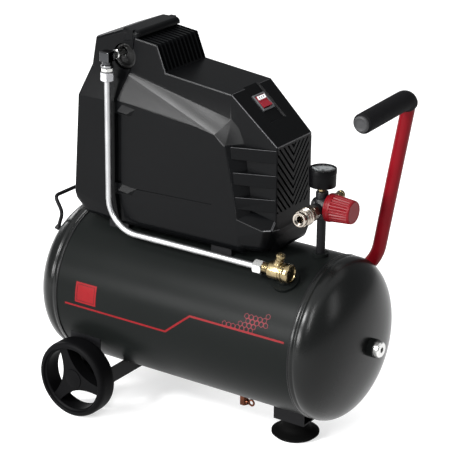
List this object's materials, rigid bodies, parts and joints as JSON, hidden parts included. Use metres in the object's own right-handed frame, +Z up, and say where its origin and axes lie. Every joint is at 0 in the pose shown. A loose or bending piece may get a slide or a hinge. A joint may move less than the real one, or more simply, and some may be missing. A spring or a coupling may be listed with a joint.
{
  "type": "air compressor",
  "caption": "Portable oil-free air compressor: horizontal air tank with wheels, rubber foot, carrying handle, covered piston pump, regulator, gauge and quick coupler.",
  "frame": {"origin": "centre of the bounding box on the floor", "axes": "+Z up; +X along the tank towards the end with the plug, the regulator and the handle; -Y is the side with the delivery tube and the quick coupler"},
  "size_m": [0.576, 0.306, 0.6084],
  "materials": {
    "tank_black": "gloss",
    "frame_black": "satin",
    "plated_steel": "bright zinc",
    "black_rubber": "matte",
    "foam_grip": "matte foam",
    "wheel_plastic": "matte",
    "red_paint": "satin",
    "base_steel": "dull",
    "cover_plastic": "fine grain",
    "switch_grey": "satin",
    "switch_red": "gloss",
    "box_plastic": "matte",
    "dark_chrome": "dark",
    "nut_steel": "bright",
    "tube_alloy": "drawn",
    "brass": "machined",
    "lamination_steel": "ground",
    "copper_wire": "enamelled copper",
    "cast_alloy": "as cast",
    "capacitor_white": "matte",
    "gauge_black": "satin",
    "dial_white": "matte",
    "lens_clear": "clear",
    "coupler_nickel": "nickel",
    "knob_red": "satin"
  },
  "bodies": {
    "chassis": {"tank_shell": "tank_black", "tank_head_left": "tank_black", "tank_head_right": "tank_black", "weld_bosses": "tank_black", "end_plug": "plated_steel", "foot_bracket": "frame_black", "rubber_foot": "black_rubber", "foot_bolt": "plated_steel", "wheel_bracket": "frame_black", "axle_bolts": "plated_steel", "handle_tube": "red_paint", "handle_grip": "foam_grip", "cable_hook": "frame_black", "pump_saddles": "frame_black", "vibration_mounts": "black_rubber", "pump_base": "base_steel", "cover_front": "cover_plastic", "cover_rear": "cover_plastic", "tube_grommet": "black_rubber", "switch_frame": "switch_grey", "pressure_switch": "box_plastic", "outlet_elbow": "dark_chrome", "tube_nuts": "nut_steel", "delivery_tube": "tube_alloy", "check_valve": "brass", "bleed_fitting": "brass", "motor_stator": "lamination_steel", "motor_windings": "copper_wire", "motor_end_shield": "cast_alloy", "crankcase": "cast_alloy", "shaft_bearings": "lamination_steel", "cylinder_barrel": "cast_alloy", "valve_plate": "lamination_steel", "cylinder_head": "cast_alloy", "head_bolts": "plated_steel", "intake_filter": "box_plastic", "run_capacitor": "capacitor_white", "stand_pipe": "frame_black", "regulator_body": "frame_black", "gauge_case": "gauge_black", "gauge_dial": "dial_white", "gauge_lens": "lens_clear", "coupler_body": "coupler_nickel", "safety_valve": "brass", "drain_valve": "brass"},
    "wheel_front_body": {"wheel_front": "wheel_plastic", "hub_cap_front": "wheel_plastic"},
    "wheel_back_body": {"wheel_back": "wheel_plastic", "hub_cap_back": "wheel_plastic"},
    "rocker": {"switch_rocker": "switch_red"},
    "knob": {"regulator_knob": "knob_red"},
    "sleeve": {"coupler_sleeve": "coupler_nickel"},
    "pointer": {"gauge_pointer": "gauge_black"},
    "relief_body": {"relief_cap": "plated_steel"},
    "drain_key": {"drain_screw": "brass"},
    "shaft": {"motor_rotor": "lamination_steel", "crank_web": "lamination_steel", "cooling_fan": "box_plastic"},
    "rod": {"connecting_rod": "cast_alloy"},
    "piston_body": {"piston": "cast_alloy"}
  },
  "joints": [
    {"name": "wheel_front_roll", "type": "hinge", "parent": "chassis", "child": "wheel_front_body", "pos_m": [-0.174, -0.135, 0.062], "axis": [0, 1, 0], "continuous": true},
    {"name": "wheel_back_roll", "type": "hinge", "parent": "chassis", "child": "wheel_back_body", "pos_m": [-0.174, 0.135, 0.062], "axis": [0, 1, 0], "continuous": true},
    {"name": "switch_rock", "type": "hinge", "parent": "chassis", "child": "rocker", "pos_m": [0.07439, 0, 0.51916], "axis": [0, 1, 0], "range_deg": [-14, 0]},
    {"name": "knob_turn", "type": "hinge", "parent": "chassis", "child": "knob", "pos_m": [0.179, 0, 0.381], "axis": [1, 0, 0], "range_deg": [-720, 720]},
    {"name": "sleeve_pull", "type": "slide", "parent": "chassis", "child": "sleeve", "axis": [0, 1, 0], "range_m": [0, 0.004], "stiffness_N_per_m": 1200, "springref_m": -0.001},
    {"name": "pointer_swing", "type": "hinge", "parent": "chassis", "child": "pointer", "pos_m": [0.179, 0, 0.435], "axis": [0, 0, -1], "range_deg": [0, 270], "stiffness_Nm_per_rad": 0.0002, "springref_deg": -5.73},
    {"name": "relief_pull", "type": "slide", "parent": "chassis", "child": "relief_body", "axis": [0, 1, 0], "range_m": [0, 0.003], "stiffness_N_per_m": 1500, "springref_m": -0.001},
    {"name": "drain_turn", "type": "hinge", "parent": "chassis", "child": "drain_key", "pos_m": [0.049, 0, 0.029], "axis": [1, 0, 0], "range_deg": [0, 720]},
    {"name": "shaft_spin", "type": "hinge", "parent": "chassis", "child": "shaft", "pos_m": [-0.009, 0, 0.407], "axis": [1, 0, 0], "continuous": true},
    {"name": "rod_swing", "type": "hinge", "parent": "shaft", "child": "rod", "pos_m": [-0.142, 0, 0.416], "axis": [1, 0, 0], "continuous": true},
    {"name": "piston_stroke", "type": "slide", "parent": "chassis", "child": "piston_body", "axis": [0, 0, 1], "range_m": [-0.018, 0]}
  ],
  "couplings": [
    {"joint": "rod_swing", "follows": "shaft_spin", "ratio": -1}
  ]
}
